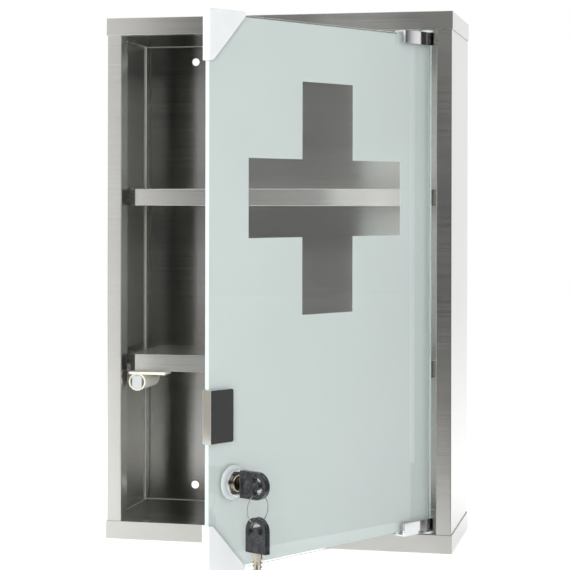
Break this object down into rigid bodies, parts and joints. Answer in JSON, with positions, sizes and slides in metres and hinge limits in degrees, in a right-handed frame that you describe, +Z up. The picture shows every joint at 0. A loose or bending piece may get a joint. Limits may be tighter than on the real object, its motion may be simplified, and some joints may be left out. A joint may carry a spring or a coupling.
{
  "type": "glass door medical cabinet",
  "caption": "Wall cabinet of folded brushed stainless sheet with shelves and a frosted glass door with a clear cross, a cam lock with keys and a push latch.",
  "frame": {"origin": "middle of the rear face, which lies on the wall", "axes": "+Z up, +Y into the wall, +X to the right as seen from the front, so the front faces -Y"},
  "size_m": [0.3, 0.3401, 0.45],
  "materials": {
    "stainless": "fine brushed",
    "chrome": "polished",
    "zinc_steel": "bright zinc plated",
    "nickel": "nickel plated",
    "glass": "clear, polished edges",
    "frost": "frosted",
    "white_nylon": "moulded",
    "ivory_plastic": "moulded",
    "black_plastic": "moulded, fine grain",
    "rubber": "soft liner",
    "magnet": "sintered ferrite"
  },
  "bodies": {
    "cabinet": {"bottom_tray": "stainless", "top_tray": "stainless", "left_side_panel": "stainless", "right_side_panel": "stainless", "back_panel": "stainless", "upper_shelf": "stainless", "lower_shelf": "stainless", "upper_shelf_stud_left_front": "zinc_steel", "upper_shelf_stud_left_rear": "zinc_steel", "upper_shelf_stud_right_front": "zinc_steel", "upper_shelf_stud_right_rear": "zinc_steel", "lower_shelf_stud_left_front": "zinc_steel", "lower_shelf_stud_left_rear": "zinc_steel", "lower_shelf_stud_right_front": "zinc_steel", "lower_shelf_stud_right_rear": "zinc_steel", "upper_hinge_bush": "white_nylon", "lower_hinge_bush": "white_nylon", "latch_housing": "ivory_plastic", "latch_screw_inner": "zinc_steel", "latch_screw_outer": "zinc_steel", "latch_spring": "zinc_steel"},
    "plunger": {"latch_plunger": "white_nylon", "latch_magnet": "magnet"},
    "door": {"door_glass": "glass", "frost_layer": "frost", "upper_hinge_clip": "chrome", "upper_hinge_liner": "rubber", "upper_hinge_pin": "zinc_steel", "upper_hinge_screw_1": "zinc_steel", "upper_hinge_screw_2": "zinc_steel", "lower_hinge_clip": "chrome", "lower_hinge_liner": "rubber", "lower_hinge_pin": "zinc_steel", "lower_hinge_screw_1": "zinc_steel", "lower_hinge_screw_2": "zinc_steel", "push_clip": "chrome", "push_clip_liner": "rubber", "upper_corner_guard": "white_nylon", "lower_corner_guard": "white_nylon", "lock_body": "chrome", "lock_gasket": "white_nylon", "lock_washer": "white_nylon", "lock_nut": "zinc_steel"},
    "plug": {"lock_plug": "nickel", "lock_cam": "zinc_steel", "cam_screw": "zinc_steel"},
    "key": {"key_blade": "nickel", "key_head": "black_plastic"},
    "ring": {"key_ring": "nickel"},
    "spare_key": {"spare_key_blade": "nickel", "spare_key_head": "black_plastic"}
  },
  "joints": [
    {"name": "door_hinge", "type": "hinge", "parent": "cabinet", "child": "door", "pos_m": [0.1283, -0.1125, 0], "axis": [0, 0, 1], "range_deg": [-59.7, 45]},
    {"name": "lock_turn", "type": "hinge", "parent": "door", "child": "plug", "pos_m": [0.00974, -0.3154, -0.1406], "axis": [-0.8634, 0.5045, 0], "range_deg": [0, 90]},
    {"name": "key_pull", "type": "slide", "parent": "plug", "child": "key", "axis": [0.8634, -0.5045, 0], "range_m": [0, 0.028]},
    {"name": "ring_swing", "type": "hinge", "parent": "key", "child": "ring", "pos_m": [0.03331, -0.32917, -0.146], "axis": [-0.5045, -0.8634, 0], "range_deg": [-8, 40]},
    {"name": "spare_key_swing", "type": "hinge", "parent": "ring", "child": "spare_key", "pos_m": [0.03331, -0.32917, -0.1679], "axis": [-0.5045, -0.8634, 0], "range_deg": [-8, 40]},
    {"name": "latch_push", "type": "slide", "parent": "cabinet", "child": "plunger", "axis": [0, 1, 0], "range_m": [0, 0.004], "stiffness_N_per_m": 250, "springref_m": -0.01, "deforming": ["latch_spring"]}
  ]
}
